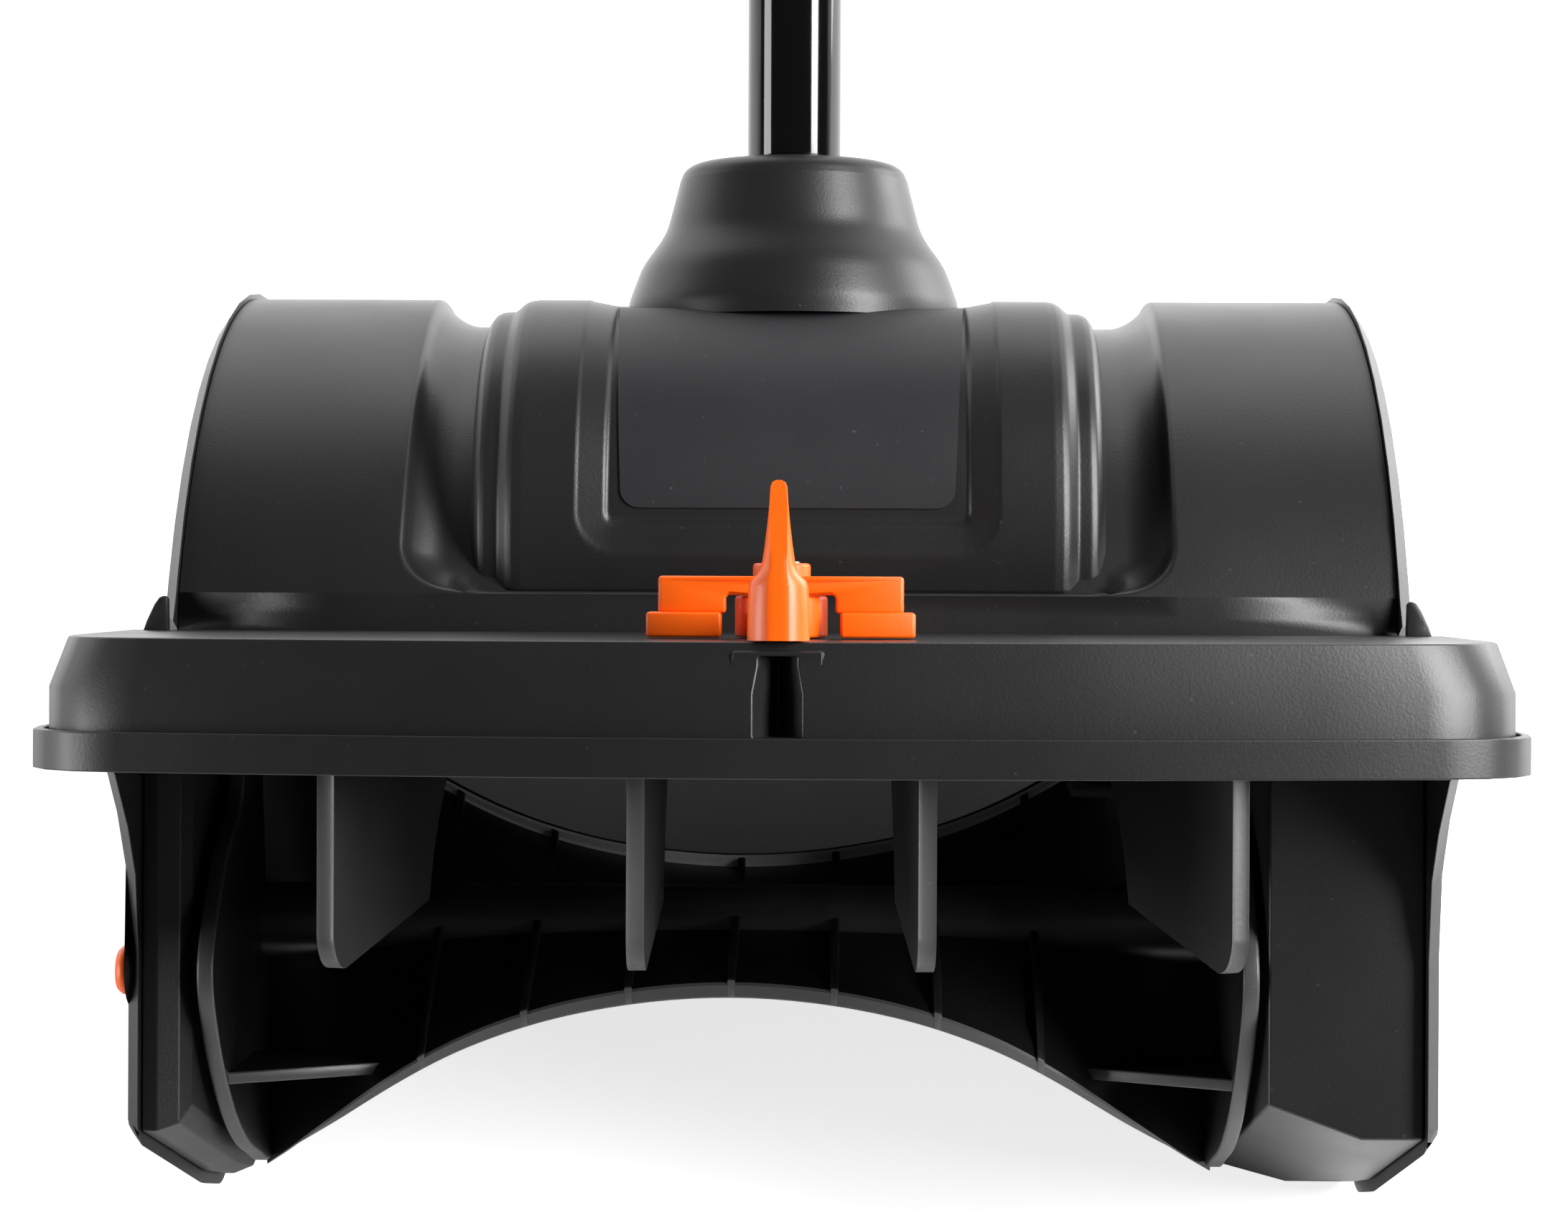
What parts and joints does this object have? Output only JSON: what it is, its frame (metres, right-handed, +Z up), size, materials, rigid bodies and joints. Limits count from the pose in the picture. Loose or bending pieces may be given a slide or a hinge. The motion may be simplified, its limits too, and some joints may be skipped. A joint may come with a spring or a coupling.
{
  "type": "cordless snow shovel",
  "caption": "Cordless push snow thrower: rotor head between side plates, hood with steering vanes and lever, long shaft, front loop, rear grip with battery.",
  "frame": {"origin": "middle of the scraper's ground face, under the head", "axes": "+X to the machine's right seen from the front mouth, +Y back towards the user, +Z up"},
  "size_m": [0.3332, 0.9944, 0.8877],
  "materials": {
    "shell_plastic": "moulded, fine grain",
    "dark_plastic": "moulded, satin",
    "orange_plastic": "moulded, satin",
    "black_paint": "gloss powder coat",
    "label_film": "matte film",
    "steel": "plain",
    "grip_rubber": "matte",
    "cable_rubber": "matte"
  },
  "bodies": {
    "housing": {"battery_rail": "dark_plastic", "bearing_left": "steel", "bearing_right": "steel", "front_bolt": "steel", "front_clamp": "dark_plastic", "gearcase": "shell_plastic", "handle_left": "shell_plastic", "handle_right": "shell_plastic", "hood_tray": "shell_plastic", "idler_pin": "steel", "label_panel": "label_film", "left_bearing_pod": "shell_plastic", "left_side_plate": "shell_plastic", "lower_shaft": "black_paint", "motor_can": "steel", "motor_cover": "shell_plastic", "motor_mount": "steel", "neck_boot": "shell_plastic", "power_lead": "cable_rubber", "right_side_plate": "shell_plastic", "scoop_shell": "shell_plastic", "scraper_bar": "dark_plastic", "screw_left_1": "steel", "screw_left_2": "steel", "screw_left_3": "steel", "screw_left_4": "steel", "screw_left_5": "steel", "screw_right_1": "steel", "screw_right_2": "steel", "screw_right_3": "steel", "screw_right_4": "steel", "screw_right_5": "steel", "shaft_coupler": "dark_plastic", "side_plug": "orange_plastic", "switch_block": "dark_plastic", "trigger_pin": "steel", "upper_shaft": "black_paint"},
    "rotor_shaft": {"rotor": "dark_plastic", "rotor_axle": "steel", "rotor_gear": "steel"},
    "idler": {"idler_gear": "steel"},
    "motor_rotor": {"motor_shaft": "steel", "drive_pinion": "steel"},
    "lever": {"steering_lever": "orange_plastic", "lever_screw": "steel", "lever_crank": "steel"},
    "link": {"link_bar": "steel"},
    "vane_a": {"vane_1": "dark_plastic"},
    "vane_b": {"vane_2": "dark_plastic"},
    "vane_c": {"vane_3": "dark_plastic"},
    "vane_d": {"vane_4": "dark_plastic"},
    "front_loop": {"front_handle": "dark_plastic", "front_grip": "grip_rubber"},
    "loop_knob": {"front_knob": "orange_plastic"},
    "trigger_lever": {"trigger": "orange_plastic"},
    "button": {"lock_button": "orange_plastic"},
    "battery": {"battery_pack": "dark_plastic"},
    "latch": {"battery_latch": "orange_plastic"}
  },
  "joints": [
    {"name": "rotor_spin", "type": "hinge", "parent": "housing", "child": "rotor_shaft", "pos_m": [0, -0.0735, 0.08], "axis": [1, 0, 0], "continuous": true},
    {"name": "idler_spin", "type": "hinge", "parent": "housing", "child": "idler", "pos_m": [0.127, 0.00478, 0.11039], "axis": [1, 0, 0], "continuous": true},
    {"name": "motor_spin", "type": "hinge", "parent": "housing", "child": "motor_rotor", "pos_m": [0.05, 0.04671, 0.12667], "axis": [1, 0, 0], "continuous": true},
    {"name": "lever_turn", "type": "hinge", "parent": "housing", "child": "lever", "pos_m": [0, -0.08764, 0.20728], "axis": [0, 0.7071, 0.7071], "range_deg": [-28, 28]},
    {"name": "link_slide", "type": "slide", "parent": "housing", "child": "link", "axis": [1, 0, 0], "range_m": [-0.0072, 0.0072]},
    {"name": "vane_a_turn", "type": "hinge", "parent": "housing", "child": "vane_a", "pos_m": [-0.09, -0.11593, 0.17899], "axis": [0, 0.7071, 0.7071], "range_deg": [-30, 30]},
    {"name": "vane_b_turn", "type": "hinge", "parent": "housing", "child": "vane_b", "pos_m": [-0.03, -0.11593, 0.17899], "axis": [0, 0.7071, 0.7071], "range_deg": [-30, 30]},
    {"name": "vane_c_turn", "type": "hinge", "parent": "housing", "child": "vane_c", "pos_m": [0.03, -0.11593, 0.17899], "axis": [0, 0.7071, 0.7071], "range_deg": [-30, 30]},
    {"name": "vane_d_turn", "type": "hinge", "parent": "housing", "child": "vane_d", "pos_m": [0.09, -0.11593, 0.17899], "axis": [0, 0.7071, 0.7071], "range_deg": [-30, 30]},
    {"name": "front_loop_tilt", "type": "hinge", "parent": "housing", "child": "front_loop", "pos_m": [0, 0.44552, 0.55093], "axis": [1, 0, 0], "range_deg": [-35, 35]},
    {"name": "loop_knob_turn", "type": "hinge", "parent": "housing", "child": "loop_knob", "pos_m": [0.047, 0.44552, 0.55093], "axis": [1, 0, 0], "continuous": true},
    {"name": "trigger_pull", "type": "hinge", "parent": "housing", "child": "trigger_lever", "pos_m": [0, 0.68876, 0.74609], "axis": [1, 0, 0], "range_deg": [-10, 0], "stiffness_Nm_per_rad": 0.3, "springref_deg": 5.16},
    {"name": "lock_button_push", "type": "slide", "parent": "housing", "child": "button", "axis": [1, 0, 0], "range_m": [0, 0.004], "stiffness_N_per_m": 300, "springref_m": -0.002},
    {"name": "battery_slide", "type": "slide", "parent": "housing", "child": "battery", "axis": [0, -0.7071, 0.7071], "range_m": [0, 0.09]},
    {"name": "battery_latch_press", "type": "slide", "parent": "battery", "child": "latch", "axis": [0, 0.7071, -0.7071], "range_m": [0, 0.003], "stiffness_N_per_m": 400, "springref_m": -0.002}
  ],
  "couplings": [
    {"joint": "idler_spin", "follows": "rotor_spin", "ratio": -1.3333},
    {"joint": "motor_spin", "follows": "rotor_spin", "ratio": 5.3333},
    {"joint": "link_slide", "follows": "lever_turn", "m_per_rad": -0.014},
    {"joint": "vane_a_turn", "follows": "lever_turn", "ratio": 1},
    {"joint": "vane_b_turn", "follows": "lever_turn", "ratio": 1},
    {"joint": "vane_c_turn", "follows": "lever_turn", "ratio": 1},
    {"joint": "vane_d_turn", "follows": "lever_turn", "ratio": 1}
  ]
}
